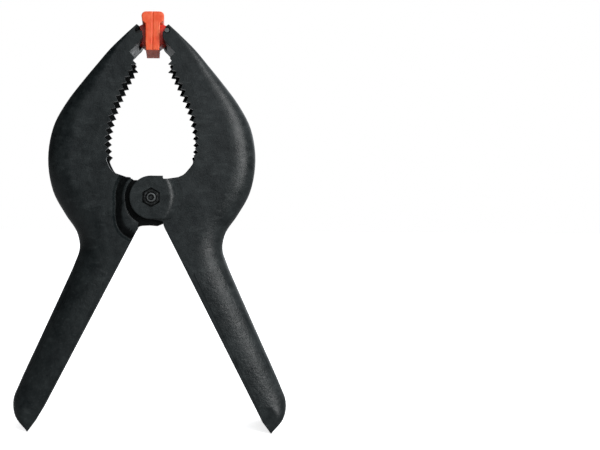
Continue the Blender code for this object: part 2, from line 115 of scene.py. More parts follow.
RING_ENDS = (-22, 35)           # degrees
PLATE_RADIUS = 15.6
PLATE_TOP = 9.2                 # the flat on top of the plate
PLATE_ROUND_END = 250           # degrees
PLATE_ROOT = ((-3.5, -15.4), (0.5, -15.1), (4.5, -15.3), (6.6, -15.8), (9.4, -19.0), (15.4, -30.2),
              (25.0, -22.0), (25.0, 14.8), (12.6, 10.6), (10.8, PLATE_TOP))
PLATE_BRIDGE = PLATE_ROOT[4:8]  # the part of the root that is joined to the side wall
PLATE_BRIDGE_RADIUS = 13.4
PLATE_BRIDGE_ENDS = (44, -54)   # degrees
PLATE_INSIDE = 7.7
PLATE_OUTSIDE = 10.7
# Groove and ridge round the hub of the left arm: radius, depth below the arm's face
RECESS = ((13.8, 3.15), (13.8, 0.95), (13.9, 0.78), (14.1, 0.67), (14.5, 0.62),
          (15.1, 0.68), (15.7, 0.88), (17.3, 1.72), (18.2, 2.2), (18.8, 2.44), (19.2, 2.45), (19.5, 2.25),
          (19.8, 1.85), (20.6, 0.1), (20.75, -0.6), (20.9, -4.0))
RECESS_SIDES = 180
RECESS_SPREAD = 2.7             # spread below the pivot for each millimetre from core to ridge
RECESS_CORE = 13.4
RECESS_RIDGE = 15.5
RECESS_SPREAD_START = 185       # the spread eases in from this angle, over this many degrees
RECESS_SPREAD_EASE = 50
BOLT_RADIUS = 2.5
GAP = 0.3                       # clearance between pieces
BORE_RADIUS = BOLT_RADIUS + GAP
HEX_RECESS = 9.2                # across flats
HEX_RECESS_DEPTH = 4.4
NUT_FLATS = 8.0
NUT_CORNER = NUT_FLATS / math.sqrt(3)
NUT_HEIGHT = 3.6
NUT_HOLE = BOLT_RADIUS + 0.05
NUT_COUNTERSINK = 0.5
HEX_CHAMFER = 0.5               # height of the turned corners of nut and head
HEX_CHAMFER_RADIUS = 3.9
CLEAR_OF_CORNER = 0.1
BOLT_STICKS_OUT = 0.4
# Staked end of the bolt: radius, distance in from the end
BOLT_END = ((0, 0.9), (0.9, 0.8), (1.3, 0.35), (1.5, 0.0), (2.0, 0.0), (2.45, 0.45), (BOLT_RADIUS, 0.9))
HEAD_HEIGHT = 3.5

# Jaw ends and pads, as in the model
PIN = (7.65, 89.0)
TIP_CENTRE = (11.35, 86.7)
TIP_RADIUS = 6.0
TIP_ENDS = (118, 234)           # degrees
PIN_RADIUS = 1.5
PIN_EDGE = 0.3
PIN_LENGTH = 22.0
PIN_FRONT = {"left": -8.6, "right": -13.4}
SLOT_HALF = 6.2
SLOT_DEPTH = 5.0                # below the pin's axis
SLOT_TILT = 45
SLOT_REACH = 12.0
PAD_HALF = 11.5
PAD_FACE = 0.04
PAD_BACK = 3.9
PAD_FLANGE = 6.1
PAD_BOTTOM = 78.8
PAD_TOP = 99.5
PAD_CORNER = 2.4                # radius of the flange's upper corner
PAD_EDGE = 0.6
PAD_FOOT = 5.0                  # height of the tapered foot
PAD_FOOT_TAPER = 0.3
PAD_STEP_LOW = 6.5              # the flange steps out between these two depths below the top
PAD_STEP_HIGH = 5.1
PAD_STEP_TAPER = 0.4
LUG_HALF = 5.9
LUG_RADIUS = 3.4
LUG_EDGE = 0.4
LUG_ABOVE_PIN = 6.2
LUG_BELOW_PIN = 8.0
LUG_ROOT = PAD_BACK - 1.0       # the lug starts inside the pad

# Spring, as in the model
WIRE = 2.6
COIL_RADIUS = 7.5
COIL_PITCH = 2.8
COIL_TURNS = 4
COIL_STEP = 8                   # degrees
LEG_END = (50.0, -70.0)

# Shading: edges sharper than these angles, in degrees, stay sharp
SHARP_ANGLE = 24
SHARP_ANGLE_AT_FACES = 10       # round the flat faces across the pivot axis
FACE_NORMAL = 0.9995            # a face's normal is this far along Y if it is one of those
SHARP_ANGLE_OF_WIRE = 50

# Painted shade: within this radius inside the channels, and on the slope into the left arm's groove
PAINTED_SHADE_RADIUS = 78
PAINTED_SHADE_SLOPE_DEPTHS = (11.4, 13.2)
PAINTED_SHADE_SLOPE_RADII = (14.5, 27.0)
PAINTED_SHADE_WALL_NORMAL = 0.9       # least share of the normal along Y, on walls and on the slope
PAINTED_SHADE_SLOPE_NORMAL = 0.6
TOLERANCE = 0.05

# Stippled field on the handles, in metres: direction of the handle and where the field lies
GRIP_COS = 0.898
GRIP_SIN = 0.439
GRIP_MIDDLE = 0.0100
GRIP_HALF_WIDTH = (0.0068, 0.0074)
GRIP_START = (0.046, 0.047)
GRIP_END = (0.128, 0.129)

# Camera, light and stage, in metres
CAMERA_DISTANCE = 0.406         # from the clamp's middle plane
CAMERA_RISE = -0.004            # the camera's height above the pivot
CAMERA_RIGHT = 0.009            # and to the right of it
CAMERA_ROLL = 0.5               # degrees
SENSOR_WIDTH = 36.0
VIEW_WIDTH = 0.330              # width that the frame spans at the middle plane
FRAME_LEFT = 0.2473             # the pivot stands this share of the frame's width left of its middle
FRAME_UP = 0.0455               # and this share of its width above its middle
# The room's strength over a direction's x: from x, to x, strength before, strength after
ROOM_FROM_LEFT = (-0.40, 0.20, 0.078, 1.22)
ROOM_TO_RIGHT = (0.60, 0.95, 1.0, 0.25)
ROOM_COLOUR = (0.93, 0.97, 1.0, 1)
FLOOR_SIZE = 6.0
FLOOR_ROUGHNESS = 0.9
FLOOR_SEEN = (0.9, 0.9, 0.9, 1)         # colour to the camera, and to everything else
FLOOR_FELT = (0.35, 0.35, 0.35, 1)
FLOOR_GLOW = 0.8
# Azimuth from the front (+X positive), elevation, distance, width, height, radiance
SOFTBOXES = (("key_right", 46, 12, 1.1, 0.42, 0.9, 7.0),
             ("rear_floor", 180, 60, 1.6, 1.6, 1.0, 1.0))


# ---------------------------------------------------------------- camera, light and stage

def aim(thing, target):
    thing.rotation_mode = "QUATERNION"
    thing.rotation_quaternion = (Vector(target) - thing.location).to_track_quat("-Z", "Y")


def make_camera():
    data = bpy.data.cameras.new("camera")
    data.sensor_width = SENSOR_WIDTH
    data.lens = SENSOR_WIDTH * CAMERA_DISTANCE / VIEW_WIDTH
    data.shift_x = FRAME_LEFT - CAMERA_RIGHT / VIEW_WIDTH
    data.shift_y = -FRAME_UP - CAMERA_RISE / VIEW_WIDTH
    camera = bpy.data.objects.new("camera", data)
    camera.location = PIVOT + Vector((CAMERA_RIGHT, -CAMERA_DISTANCE, CAMERA_RISE))
    camera.rotation_euler = (math.radians(90), math.radians(-CAMERA_ROLL), 0)
    bpy.context.scene.collection.objects.link(camera)
    bpy.context.scene.camera = camera


def softbox(name, azimuth, elevation, distance, width, height, radiance):
    """A soft light aimed at the pivot."""
    data = bpy.data.lights.new(name, "AREA")
    data.shape = "RECTANGLE"
    data.size = width
    data.size_y = height
    data.energy = radiance * width * height * math.pi
    light = bpy.data.objects.new(name, data)
    a = math.radians(azimuth)
    e = math.radians(elevation)
    away = Vector((math.sin(a) * math.cos(e), -math.cos(a) * math.cos(e), math.sin(e)))
    light.location = PIVOT + distance * away
    aim(light, PIVOT)
    bpy.context.scene.collection.objects.link(light)


def make_world():
    """White to the camera, and a dimmer, slightly cool room to everything else."""
    world = bpy.data.worlds.new("studio")
    bpy.context.scene.world = world
    world.use_nodes = True
    tree = world.node_tree
    tree.nodes.clear()
    out = tree.nodes.new("ShaderNodeOutputWorld")
    seen = tree.nodes.new("ShaderNodeBackground")
    seen.inputs["Color"].default_value = (1.0, 1.0, 1.0, 1)
    seen.inputs["Strength"].default_value = 1.0
    place = tree.nodes.new("ShaderNodeTexCoord")
    split = tree.nodes.new("ShaderNodeSeparateXYZ")
    tree.links.new(place.outputs["Generated"], split.inputs["Vector"])
    strength = tree.nodes.new("ShaderNodeMath")
    strength.operation = "MULTIPLY"
    for index, sweep in enumerate((ROOM_FROM_LEFT, ROOM_TO_RIGHT)):
        ramp = tree.nodes.new("ShaderNodeMapRange")
        ramp.interpolation_type = "SMOOTHSTEP"
        tree.links.new(split.outputs["X"], ramp.inputs["Value"])
        for socket, value in zip(("From Min", "From Max", "To Min", "To Max"), sweep):
            ramp.inputs[socket].default_value = value
        tree.links.new(ramp.outputs["Result"], strength.inputs[index])
    lit = tree.nodes.new("ShaderNodeBackground")
    lit.inputs["Color"].default_value = ROOM_COLOUR
    tree.links.new(strength.outputs[0], lit.inputs["Strength"])
    path = tree.nodes.new("ShaderNodeLightPath")
    mix = tree.nodes.new("ShaderNodeMixShader")
    tree.links.new(path.outputs["Is Camera Ray"], mix.inputs["Fac"])
    tree.links.new(lit.outputs["Background"], mix.inputs[1])
    tree.links.new(seen.outputs["Background"], mix.inputs[2])
    tree.links.new(mix.outputs["Shader"], out.inputs["Surface"])


def make_floor():
    """A plain pale floor, nearly white to the camera."""
    bpy.ops.mesh.primitive_plane_add(size=FLOOR_SIZE, location=(0, 0, 0))
    floor = bpy.context.object
    floor.name = "floor"
    material = bpy.data.materials.new("floor")
    material.use_nodes = True
    tree = material.node_tree
    shader = tree.nodes["Principled BSDF"]
    shader.inputs["Roughness"].default_value = FLOOR_ROUGHNESS
    shader.inputs["Emission Color"].default_value = (1, 1, 1, 1)
    path = tree.nodes.new("ShaderNodeLightPath")
    tone = tree.nodes.new("ShaderNodeMix")
    tone.data_type = "RGBA"
    tone.inputs[6].default_value = FLOOR_FELT
    tone.inputs[7].default_value = FLOOR_SEEN
    tree.links.new(path.outputs["Is Camera Ray"], tone.inputs["Factor"])
    tree.links.new(tone.outputs[2], shader.inputs["Base Color"])
    glow = tree.nodes.new("ShaderNodeMath")
    glow.operation = "MULTIPLY"
    glow.inputs[1].default_value = FLOOR_GLOW
    tree.links.new(path.outputs["Is Camera Ray"], glow.inputs[0])
    tree.links.new(glow.outputs[0], shader.inputs["Emission Strength"])
    floor.data.materials.append(material)


# ---------------------------------------------------------------- outlines

def smooth_line(keys, steps):
    """Points along a centripetal Catmull-Rom curve through keys, steps to each span."""
    keys = [Vector(key) for key in keys]
    ends = [2 * keys[0] - keys[1]] + keys + [2 * keys[-1] - keys[-2]]
    line = []
    for p0, p1, p2, p3 in zip(ends, ends[1:], ends[2:], ends[3:]):
        t1 = math.sqrt((p1 - p0).length)
        t2 = t1 + math.sqrt((p2 - p1).length)
        t3 = t2 + math.sqrt((p3 - p2).length)
        for step in range(steps):
            t = t1 + (t2 - t1) * step / steps
            a1 = p0.lerp(p1, t / t1)
            a2 = p1.lerp(p2, (t - t1) / (t2 - t1))
            a3 = p2.lerp(p3, (t - t2) / (t3 - t2))
            b1 = a1.lerp(a2, t / t2)
            b2 = a2.lerp(a3, (t - t1) / (t3 - t1))
            line.append(b1.lerp(b2, (t - t1) / (t2 - t1)))
    line.append(keys[-1])
    return line


def evenly(line, count):
    """count points at equal distances along a line."""
    lengths = [0.0]
    for a, b in zip(line, line[1:]):
        lengths.append(lengths[-1] + (b - a).length)
    points = []
    span = 0
    for i in range(count):
        target = lengths[-1] * i / (count - 1)
        while span < len(line) - 2 and lengths[span + 1] < target:
            span += 1
        part = (target - lengths[span]) / (lengths[span + 1] - lengths[span])
        points.append(line[span].lerp(line[span + 1], part))
    return points


def arc(centre, radius, start, end, steps):
    angles = [math.radians(start + (end - start) * i / steps) for i in range(steps + 1)]
    return [Vector((centre[0] + radius * math.cos(a), centre[1] + radius * math.sin(a)))
            for a in angles]


def tangent_angle(centre, radius, point, side):
    """Angle at which a line from point touches a circle; side is +1 or -1."""
    dx = point[0] - centre[0]
    dz = point[1] - centre[1]
    return math.degrees(math.atan2(dz, dx) + side * math.acos(radius / math.hypot(dx, dz)))


def rack():
    """The saw-tooth edge of a jaw, from the ramp above it to its lowest tooth."""
    line = evenly(smooth_line(RACK_LINE, 8), 2 * TOOTH_COUNT - 1)
    corners = [Vector(point) for point in RACK_RAMP]
    for i, point in enumerate(line):
        if i % 2:
            along = (line[i + 1] - line[i - 1]).normalized()
            point = point + TOOTH_DEPTH * Vector((-along.y, along.x)) - TOOTH_LEAN * along
        corners.append(point)
    return corners


def jaw_and_throat(throat):
    tip = arc(TIP_CENTRE, TIP_RADIUS, *TIP_ENDS, 20)
    return tip + rack() + smooth_line(throat, 8)[1:]


def ear_edge():
    """Edge of the right arm's hub, over the flat top and round the ear."""
    cut = math.degrees(math.asin(EAR_TOP / EAR_RADIUS))
    round_part = arc((0, 0), EAR_RADIUS, cut, EAR_ROUND_END, 64)
    return [Vector(EAR_CORNER)] + round_part + [Vector(point) for point in EAR_FOOT]


def stub_edge():
    """Edge of the left arm's hub, behind its inner plates."""
    return [Vector(point) for point in STUB_EDGE]


def arm_outline(throat, hub_edge):
    """Closed outline of an arm, and the width of the edge rounding at each of its points."""
    inner = jaw_and_throat(throat) + hub_edge + [Vector(point) for point in HANDLE_INNER]
    outer = smooth_line(OUTER_EDGE, 5)
    outer.reverse()
    points = inner + [point.xy for point in outer]
    widths = [INNER_EDGE_ROUNDING] * len(inner) + [point.z for point in outer]
    return points, widths


def hexagon(flats):
    """Corners of a hexagon with corners at its top and bottom."""
    return arc((0, 0), flats / math.sqrt(3), 90, 390, 5)


# ---------------------------------------------------------------- mesh helpers

def to_frame(bm, name):
    """Finish a bmesh drawn in millimetres from the pivot: outward faces, in the frame's metres."""
    bmesh.ops.remove_doubles(bm, verts=bm.verts, dist=WELD / 2)
    bmesh.ops.recalc_face_normals(bm, faces=bm.faces)
    bm.transform(TO_FRAME)
    mesh = bpy.data.meshes.new(name)
    bm.to_mesh(mesh)
    bm.free()
    piece = bpy.data.objects.new(name, mesh)
    bpy.context.scene.collection.objects.link(piece)
    return piece


def loft(rings, name):
    """A closed solid through rings of (x, y, z) points, with its two ends capped."""
    bm = bmesh.new()
    loops = [[bm.verts.new(point) for point in ring] for ring in rings]
    for lower, upper in zip(loops, loops[1:]):
        for i in range(len(lower)):
            j = (i + 1) % len(lower)
            bm.faces.new((lower[i], lower[j], upper[j], upper[i]))
    bm.faces.new(loops[0])
    bm.faces.new(loops[-1])
    bmesh.ops.remove_doubles(bm, verts=bm.verts, dist=WELD)
    bmesh.ops.triangulate(bm, faces=bm.faces)
    return to_frame(bm, name)


def flat_solid(points, low, high, name, mirror=1):
    return loft([[(mirror * p[0], y, p[1]) for p in points] for y in (low, high)], name)


def inward_normals(points):
    normals = []
    for i, point in enumerate(points):
        along = points[(i + 1) % len(points)] - points[i - 1]
        normals.append(Vector((-along.y, along.x)).normalized())
    return normals


def rounded_solid(points, widths, half, name, mirror, steps=10):
    """An outline made solid to y = +-half, its edges rounded off in part ellipses."""
    normals = inward_normals(points)
    corner = [math.pi / 2 * i / steps for i in range(steps + 1)]
    rings = []
    for side, angles in ((-1, corner), (1, corner[::-1])):
        for a in angles:
            ring = []
            for point, normal, width in zip(points, normals, widths):
                inset = point + normal * width * (1 - math.sin(a))
                depth = width * (FILLET_DEPTH if width > INNER_EDGE_ROUNDING else 1.0)
                ring.append((mirror * inset.x, side * (half - depth * (1 - math.cos(a))), inset.y))
            rings.append(ring)
    return loft(rings, name)


def cylinder(radius, low, high, centre, name, sides=48):
    """A cylinder along Y, between y = low and y = high."""
    return flat_solid(arc(centre, radius, 0, 360 - 360 / sides, sides - 1), low, high, name)


def combine(base, operations):
    """Join or cut base with each (object, operation), and use the objects up."""
    for other, operation in operations:
        modifier = base.modifiers.new(other.name, "BOOLEAN")
        modifier.operation = operation
        modifier.solver = "EXACT"
        modifier.object = other
    evaluated = base.evaluated_get(bpy.context.evaluated_depsgraph_get())
    mesh = bpy.data.meshes.new_from_object(evaluated)
    base.modifiers.clear()
    base.data = mesh
    for other, _ in operations:
        bpy.data.objects.remove(other)
    return base


def shade(piece):
    """Smooth shading with sharp edges, by a finer angle round the flat faces across the pivot axis."""
    mesh = piece.data
    mesh.shade_smooth()
    bm = bmesh.new()
    bm.from_mesh(mesh)
    for edge in bm.edges:
        if len(edge.link_faces) == 2:
            a, b = (face.normal for face in edge.link_faces)
            at_face = max(abs(a.y), abs(b.y)) > FACE_NORMAL
            limit = SHARP_ANGLE_AT_FACES if at_face else SHARP_ANGLE
            edge.smooth = a.angle(b, 0) < math.radians(limit)
    bm.to_mesh(mesh)
    bm.free()
    modifier = piece.modifiers.new("face_weighted_shading", "WEIGHTED_NORMAL")
    modifier.keep_sharp = True
    return piece


def turned(profile, name, centre=(0, 0), sides=64):
    """A piece turned round an axis along Y; profile holds (radius, y) from end to end."""
    bm = bmesh.new()
    verts = [bm.verts.new((centre[0] + radius, y, centre[1])) for radius, y in profile]
    for a, b in zip(verts, verts[1:]):
        bm.edges.new((a, b))
    bmesh.ops.spin(bm, geom=bm.verts[:] + bm.edges[:], cent=(centre[0], 0, centre[1]), axis=(0, 1, 0),
                   angle=2 * math.pi, steps=sides, use_merge=True)
    return to_frame(bm, name)


# ---------------------------------------------------------------- arms

def cross_ribs(name, mirror):
    """Boxes where the hollow is left filled, so that ribs join the two walls."""
    bm = bmesh.new()
    for centre, tilt in RIBS:
        verts = bmesh.ops.create_cube(bm, size=1)["verts"]
        bmesh.ops.scale(bm, vec=(RIB_LENGTH, 4 * BODY_HALF, 2 * RIB_HALF), verts=verts)
        turn = Matrix.Rotation(math.radians(-mirror * tilt), 4, "Y")
        move = Matrix.Translation((mirror * centre[0], 0, centre[1]))
        bmesh.ops.transform(bm, matrix=move @ turn, verts=verts)
    return to_frame(bm, name)


def hollow(points, widths, name, mirror):
    """The inside of the channel, one wall inside the outer edge and open past the inner edge."""
    outline = []
    rounding = []
    for point, normal, width in zip(points, inward_normals(points), widths):
        inset = point + normal * WALL
        if width > INNER_EDGE_ROUNDING and HOLLOW_BOTTOM < inset.y < HOLLOW_TOP:
            outline.append(inset)
            rounding.append(max(width - WALL, 0.0))
    outline += [Vector(point) for point in HOLLOW_OPEN_SIDE]
    rounding += [0.0] * len(HOLLOW_OPEN_SIDE)
    solid = rounded_solid(outline, rounding, BODY_HALF - WALL, name, mirror, 6)
    return combine(solid, [(cross_ribs(name + "_ribs", mirror), "DIFFERENCE")])


def fork_slot(name, mirror):
    """The slot that holds the lug of a pad, square to the jaw's tip."""
    bm = bmesh.new()
    bmesh.ops.create_cube(bm, size=1)
    bmesh.ops.scale(bm, vec=(2 * SLOT_REACH, 2 * SLOT_HALF, 2 * SLOT_REACH), verts=bm.verts)
    bmesh.ops.translate(bm, vec=(0, 0, SLOT_REACH - SLOT_DEPTH), verts=bm.verts)
    turn = Matrix.Rotation(math.radians(-SLOT_TILT), 4, "Y")
    bmesh.ops.transform(bm, matrix=turn, verts=bm.verts)
    bmesh.ops.scale(bm, vec=(mirror, 1, 1), verts=bm.verts)
    bmesh.ops.translate(bm, vec=(mirror * PIN[0], 0, PIN[1]), verts=bm.verts)
    return to_frame(bm, name)


def pin_bore(name, mirror):
    return cylinder(PIN_RADIUS + GAP, -PAST_BODY, PAST_BODY, (mirror * PIN[0], PIN[1]), name, 32)


def channel(name, throat, hub_edge, mirror):
    """An arm's rounded body, and the cutters for its hollow, fork slot and pin hole."""
    points, widths = arm_outline(throat, hub_edge)
    body = rounded_solid(points, widths, BODY_HALF, name, mirror)
    cuts = [(hollow(points, widths, name + "_hollow", mirror), "DIFFERENCE"),
            (fork_slot(name + "_fork_slot", mirror), "DIFFERENCE"),
            (pin_bore(name + "_pin_hole", mirror), "DIFFERENCE")]
    return body, cuts


def ear_ring(growth, y, edge):
    """Section of an ear at depth y; growth is how far it spreads past its flat face, at its arm."""
    offset = EAR_FACE_ARC[0] - growth
    arc_radius = EAR_FACE_ARC[1]
    ring = []
    for i in range(EAR_SIDES):
        angle = 2 * math.pi * (i + 0.5) / EAR_SIDES
        c = math.cos(angle)
        s = math.sin(angle)
        radius = edge
        if c > 0:
            reach = math.sqrt(arc_radius ** 2 - (offset * s) ** 2) - offset * c
            radius = min(reach, edge / abs(s))
        if s > 0 and c > 0.5:
            radius = min(radius, (EAR_TOP - EAR_STEP) / s)
        ring.append((radius * c, y, radius * s))
    return ring


def ear(side, name):
    """The raised face of an ear: rounded at its free edge, and eased down to the arm."""
    rings = []
    for drop in EAR_DROPS:
        growth = drop / EAR_SLOPE + EAR_SHOULDER / 2
        if growth < EAR_SHOULDER:
            growth = math.sqrt(2 * EAR_SHOULDER * drop / EAR_SLOPE)
        free = max(EAR_ROUNDING - drop, 0)
        inset = EAR_ROUNDING - math.sqrt(EAR_ROUNDING ** 2 - free ** 2)
        rings.append(ear_ring(growth, side * (EAR_HALF - drop), EAR_RADIUS - EAR_STEP - inset))
    return loft(rings, name)


def raised_line():
    """Outline of the fine raised line beside an ear."""
    start, end = RING_ENDS
    return (arc((0, 0), RING_RADIUS, start, end, 24)
            + arc((0, 0), RING_RADIUS - RING_WIDTH, end, start, 24))


def bore():
    return cylinder(BORE_RADIUS, -PAST_EARS, PAST_EARS, (0, 0), "bore")


def make_right_arm():
    body, operations = channel("right_arm_skin", THROAT_RIGHT, ear_edge(), 1)
    for side, label in ((-1, "front"), (1, "back")):
        operations.append((ear(side, label + "_ear"), "UNION"))
        ends = sorted((side * (EAR_HALF - HEX_RECESS_DEPTH), side * PAST_EARS))
        operations.append((flat_solid(hexagon(HEX_RECESS), *ends, label + "_hex"), "DIFFERENCE"))
        ends = sorted((side * (BODY_HALF - EMBED), side * (BODY_HALF + RING_HEIGHT)))
        operations.append((flat_solid(raised_line(), *ends, label + "_ring"), "UNION"))
    operations.append((bore(), "DIFFERENCE"))
    return shade(combine(body, operations))


def plate_outline():
    """Inner plate of the left arm, drawn on the right: a disc with a flat top, and its root."""
    start = math.degrees(math.asin(PLATE_TOP / PLATE_RADIUS))
    disc = arc((0, 0), PLATE_RADIUS, 180 - start, PLATE_ROUND_END, 32)
    return disc + [Vector(point) for point in PLATE_ROOT]


def bridge_outline():
    """The part of a plate's root that joins it to the side wall, clear of the other arm's ears."""
    inner = arc((0, 0), PLATE_BRIDGE_RADIUS, *PLATE_BRIDGE_ENDS, 24)
    return inner + [Vector(point) for point in PLATE_BRIDGE]


def recess_ring(radius, y):
    """Section of the hub recess: round above the pivot, and spreading towards the handle below it."""
    ring = []
    full_spread = RECESS_SPREAD * (min(radius, RECESS_RIDGE) - RECESS_CORE)
    for i in range(RECESS_SIDES):
        angle = 2 * math.pi * i / RECESS_SIDES
        below = (math.degrees(angle) - RECESS_SPREAD_START) / RECESS_SPREAD_EASE
        below = min(max(below, 0), 1)
        reach = radius + full_spread * below * below * (3 - 2 * below)
        ring.append((reach * math.cos(angle), y, reach * math.sin(angle)))
    return ring


def make_left_arm():
    body, operations = channel("left_arm_skin", THROAT_LEFT, stub_edge(), -1)
    for side, label in ((-1, "front"), (1, "back")):
        ends = sorted((side * PLATE_INSIDE, side * PLATE_OUTSIDE))
        operations.append((flat_solid(plate_outline(), *ends, label + "_plate", -1), "UNION"))
        ends = sorted((side * (PLATE_OUTSIDE - EMBED), side * (BODY_HALF - WALL + EMBED_IN_WALL)))
        operations.append((flat_solid(bridge_outline(), *ends, label + "_bridge", -1), "UNION"))
        rings = [recess_ring(radius, side * (BODY_HALF - depth)) for radius, depth in RECESS]
        operations.append((loft(rings, label + "_recess"), "DIFFERENCE"))
    operations.append((bore(), "DIFFERENCE"))
    return shade(combine(body, operations))


# ---------------------------------------------------------------- bolt, nut, pins and spring

def hex_chamfer(inner, outer, name):
    """The turned shape that trims the corners of a hexagon at its outer face."""
    corner = NUT_CORNER + CLEAR_OF_CORNER
    trimmed = outer + math.copysign(HEX_CHAMFER, inner - outer)
    return turned(((0, outer), (HEX_CHAMFER_RADIUS, outer), (corner, trimmed), (corner, inner),
                   (0, inner)), name)


def make_nut():
    """Hex nut in the front recess."""
    inner = -(EAR_HALF - HEX_RECESS_DEPTH + GAP)
    outer = inner - NUT_HEIGHT
    body = flat_solid(hexagon(NUT_FLATS), outer, inner, "nut")
    chamfer = hex_chamfer(inner, outer, "nut_chamfer")
    mouth = NUT_HOLE + NUT_COUNTERSINK
    hole = turned(((0, outer - 1), (mouth, outer - 1), (mouth, outer),
                   (NUT_HOLE, outer + NUT_COUNTERSINK), (NUT_HOLE, 0), (0, 0)), "nut_thread")
    return shade(combine(body, [(chamfer, "INTERSECT"), (hole, "DIFFERENCE")]))


def make_bolt():
    """Hex bolt with its head in the back ear; the staked front end has a dimple and a rim, painted bright
    as a highlight.
    """
    low = EAR_HALF - HEX_RECESS_DEPTH + GAP
    end = -(low + NUT_HEIGHT + BOLT_STICKS_OUT)
    profile = [(radius, end + depth) for radius, depth in BOLT_END]
    shank = turned(profile + [(BOLT_RADIUS, low + 1), (0, low + 1)], "bolt")
    high = low + HEAD_HEIGHT
    head = flat_solid(hexagon(NUT_FLATS), low, high, "bolt_head")
    combine(head, [(hex_chamfer(low, high, "head_chamfer"), "INTERSECT")])
    return shade(combine(shank, [(head, "UNION")]))


def make_pin(name, mirror, front):
    """Drawn steel pin with broken edges."""
    back = front + PIN_LENGTH
    end_radius = PIN_RADIUS - PIN_EDGE
    profile = ((0, front), (end_radius, front), (PIN_RADIUS, front + PIN_EDGE),
               (PIN_RADIUS, back - PIN_EDGE), (end_radius, back), (0, back))
    return shade(turned(profile, name, (mirror * PIN[0], PIN[1]), 32))


def make_spring():
    """One wire: up the left handle, clockwise round the sleeve, down the right handle."""
    leg = Vector(LEG_END)
    start = math.atan2(leg.y, leg.x) + math.acos(COIL_RADIUS / leg.length)
    turn = 2 * math.pi * COIL_TURNS + math.pi - 2 * start
    half_length = COIL_PITCH * turn / (2 * math.pi) / 2
    points = [(-leg.x, -half_length, leg.y)]
    steps = round(turn / math.radians(COIL_STEP))
    for i in range(steps + 1):
        angle = math.pi - start - turn * i / steps
        y = -half_length + 2 * half_length * i / steps
        points.append((COIL_RADIUS * math.cos(angle), y, COIL_RADIUS * math.sin(angle)))
    points.append((leg.x, half_length, leg.y))
    curve = bpy.data.curves.new("spring_wire", "CURVE")
    curve.dimensions = "3D"
    curve.bevel_depth = WIRE / 2 * MM
    curve.bevel_resolution = 6
    curve.use_fill_caps = True
    wire = curve.splines.new("POLY")
    wire.points.add(len(points) - 1)
    for spline_point, point in zip(wire.points, points):
        spline_point.co = (*(TO_FRAME @ Vector(point)), 1)
    path = bpy.data.objects.new("spring_wire", curve)
    bpy.context.scene.collection.objects.link(path)
    evaluated = path.evaluated_get(bpy.context.evaluated_depsgraph_get())
    mesh = bpy.data.meshes.new_from_object(evaluated)
    bpy.data.objects.remove(path)
    mesh.shade_smooth()
    mesh.set_sharp_from_angle(angle=math.radians(SHARP_ANGLE_OF_WIRE))
    spring = bpy.data.objects.new("spring_wire", mesh)
    bpy.context.scene.collection.objects.link(spring)
    return spring


# ---------------------------------------------------------------- pads

def pad_profile():
    """A pad seen from the front, on the right: working face, stepped flange and tapered foot."""
    corner = arc((PAD_FLANGE - PAD_CORNER, PAD_TOP - PAD_CORNER), PAD_CORNER, 0, 90, 10)
    return ([Vector((PAD_FACE, PAD_BOTTOM)), Vector((PAD_BACK - PAD_FOOT_TAPER, PAD_BOTTOM)),
             Vector((PAD_BACK, PAD_BOTTOM + PAD_FOOT)), Vector((PAD_BACK, PAD_TOP - PAD_STEP_LOW)),
             Vector((PAD_FLANGE - PAD_STEP_TAPER, PAD_TOP - PAD_STEP_HIGH))]
            + corner + [Vector((PAD_FACE, PAD_TOP))])


def lug_profile():
    """The lug of a pad: a wedge that ends in an eye round the pin."""
    top = Vector((LUG_ROOT, PIN[1] + LUG_ABOVE_PIN))
    bottom = Vector((LUG_ROOT, PIN[1] - LUG_BELOW_PIN))
    start = tangent_angle(PIN, LUG_RADIUS, bottom, 1)
    end = tangent_angle(PIN, LUG_RADIUS, top, -1)
    return [bottom] + arc(PIN, LUG_RADIUS, start, end, 20) + [top]


def make_pad(name, mirror):
    profile = pad_profile()
    body = rounded_solid(profile, [PAD_EDGE] * len(profile), PAD_HALF, name, mirror, 5)
    profile = lug_profile()
    lug = rounded_solid(profile, [LUG_EDGE] * len(profile), LUG_HALF, name + "_lug", mirror, 4)
    return shade(combine(body, [(lug, "UNION"), (pin_bore(name + "_eye", mirror), "DIFFERENCE")]))


# ---------------------------------------------------------------- materials

def add(tree, kind, settings=None, inputs=None):
    """A shader node; inputs are set to values, or joined to another node's socket."""
    node = tree.nodes.new("ShaderNode" + kind)
    for key, value in (settings or {}).items():
        setattr(node, key, value)
    for key, value in (inputs or {}).items():
        if isinstance(value, bpy.types.NodeSocket):
            tree.links.new(value, node.inputs[key])
        else:
            node.inputs[key].default_value = value
    return node


def noise(tree, scale, detail=2.0, stretch=(1, 1, 1), roughness=0.5):
    """Noise over the object's own coordinates, scale in features per metre."""
    place = add(tree, "TexCoord")
    mapped = add(tree, "Mapping", None, {"Vector": place.outputs["Object"], "Scale": stretch})
    node = add(tree, "TexNoise", None, {"Vector": mapped.outputs["Vector"], "Scale": scale,
                                        "Detail": detail, "Roughness": roughness})
    return node.outputs["Fac"]


def between(tree, factor, low, high, start=0.3, end=0.7, smooth=False):
    """A value that runs from low to high while factor runs from start to end."""
    node = add(tree, "MapRange", {"interpolation_type": "SMOOTHSTEP" if smooth else "LINEAR"},
               {"Value": factor, "From Min": start, "From Max": end, "To Min": low, "To Max": high})
    return node.outputs["Result"]


def calc(tree, operation, a, b=0.0):
    return add(tree, "Math", {"operation": operation}, {0: a, 1: b}).outputs[0]


def tint(tree, factor, low, high):
    """A colour between low and high."""
    node = add(tree, "Mix", {"data_type": "RGBA"}, {"Factor": factor})
    node.inputs[6].default_value = (*low, 1)
    node.inputs[7].default_value = (*high, 1)
    return node.outputs[2]


def bump(tree, height, strength, distance, below=None):
    inputs = {"Height": height, "Strength": strength, "Distance": distance}
    if below:
        inputs["Normal"] = below
    return add(tree, "Bump", None, inputs).outputs["Normal"]


